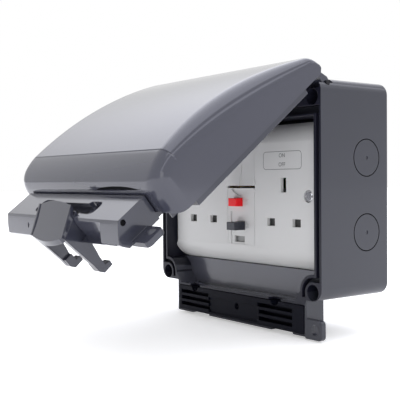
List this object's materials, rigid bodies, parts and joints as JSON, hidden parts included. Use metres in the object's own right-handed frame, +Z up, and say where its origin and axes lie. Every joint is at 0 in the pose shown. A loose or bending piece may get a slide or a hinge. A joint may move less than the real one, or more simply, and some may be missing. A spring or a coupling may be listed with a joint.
{
  "type": "weatherproof socket outlet",
  "caption": "Surface-mounted outdoor switched socket with residual-current test and reset buttons in a lidded, latched weatherproof box.",
  "frame": {"origin": "centre of the box's back face, on the wall", "axes": "+Z up, +Y into the wall, +X to the right seen from the front"},
  "size_m": [0.1558, 0.184, 0.1557],
  "materials": {
    "body_plastic": "moulded satin, dark blue-grey",
    "lid_plastic": "glossy moulded, blue-grey",
    "seal_rubber": "soft black rubber",
    "gate_rubber": "moulded black rubber",
    "steel": "plated",
    "brass": "bare",
    "copper": "enamelled winding",
    "white_plastic": "smooth white",
    "red_plastic": "smooth red",
    "grey_plastic": "dark grey",
    "tray_plastic": "moulded white",
    "shutter_plastic": "moulded white",
    "board": "green laminate",
    "coil_plastic": "potted core"
  },
  "bodies": {
    "lid": {"lid_cover": "lid_plastic", "lid_frame": "body_plastic", "lid_screws": "steel", "latch_pin": "steel"},
    "latch": {"latch": "body_plastic"},
    "rocker_left": {"rocker_left": "white_plastic"},
    "rocker_right": {"rocker_right": "white_plastic"},
    "test_button": {"test_button": "red_plastic"},
    "reset_button": {"reset_button": "grey_plastic", "contact_carriage": "grey_plastic"},
    "shutter_left": {"shutter_left": "shutter_plastic"},
    "shutter_right": {"shutter_right": "shutter_plastic"},
    "box": {"base_box": "body_plastic", "perimeter_seal": "seal_rubber", "cable_gate": "gate_rubber", "gate_screw": "steel", "insert_left": "brass", "insert_right": "brass", "hinge_pin_left": "steel", "hinge_pin_right": "steel", "socket_plate": "white_plastic", "plate_screw_left": "steel", "plate_screw_right": "steel", "rocker_axle": "steel", "test_spring": "steel", "reset_spring": "steel", "rear_housing": "tray_plastic", "housing_screws": "steel", "shutter_spring_left": "steel", "shutter_spring_right": "steel", "circuit_board": "board", "current_transformer": "coil_plastic", "trip_coil": "copper", "terminal_screws": "steel", "live_bar": "brass", "live_terminal": "brass", "live_contact_left": "brass", "live_contact_right": "brass", "neutral_bar": "brass", "neutral_terminal": "brass", "neutral_contact_left": "brass", "neutral_contact_right": "brass", "earth_bar": "brass", "earth_terminal": "brass", "earth_contact_left": "brass", "earth_contact_right": "brass"}
  },
  "joints": [
    {"name": "lid_hinge", "type": "hinge", "parent": "box", "child": "lid", "pos_m": [0, -0.0492, 0.0593], "axis": [-1, 0, 0], "range_deg": [-51.6, 58]},
    {"name": "latch_hinge", "type": "hinge", "parent": "lid", "child": "latch", "pos_m": [0, -0.17411, -0.0138], "axis": [-1, 0, 0], "range_deg": [-7, 40]},
    {"name": "rocker_left_tilt", "type": "hinge", "parent": "box", "child": "rocker_left", "pos_m": [0, -0.0435, 0.0133], "axis": [1, 0, 0], "range_deg": [0, 12]},
    {"name": "rocker_right_tilt", "type": "hinge", "parent": "box", "child": "rocker_right", "pos_m": [0, -0.0435, 0.0133], "axis": [1, 0, 0], "range_deg": [0, 12]},
    {"name": "test_press", "type": "slide", "parent": "box", "child": "test_button", "axis": [0, 1, 0], "range_m": [0, 0.0022], "stiffness_N_per_m": 600, "springref_m": -0.001, "deforming": ["test_spring"]},
    {"name": "reset_press", "type": "slide", "parent": "box", "child": "reset_button", "axis": [0, 1, 0], "range_m": [0, 0.003], "stiffness_N_per_m": 500, "springref_m": -0.001, "deforming": ["reset_spring"]},
    {"name": "shutter_left_slide", "type": "slide", "parent": "box", "child": "shutter_left", "axis": [0, 0, -1], "range_m": [0, 0.0065], "stiffness_N_per_m": 150, "springref_m": -0.002, "deforming": ["shutter_spring_left"]},
    {"name": "shutter_right_slide", "type": "slide", "parent": "box", "child": "shutter_right", "axis": [0, 0, -1], "range_m": [0, 0.0065], "stiffness_N_per_m": 150, "springref_m": -0.002, "deforming": ["shutter_spring_right"]}
  ]
}
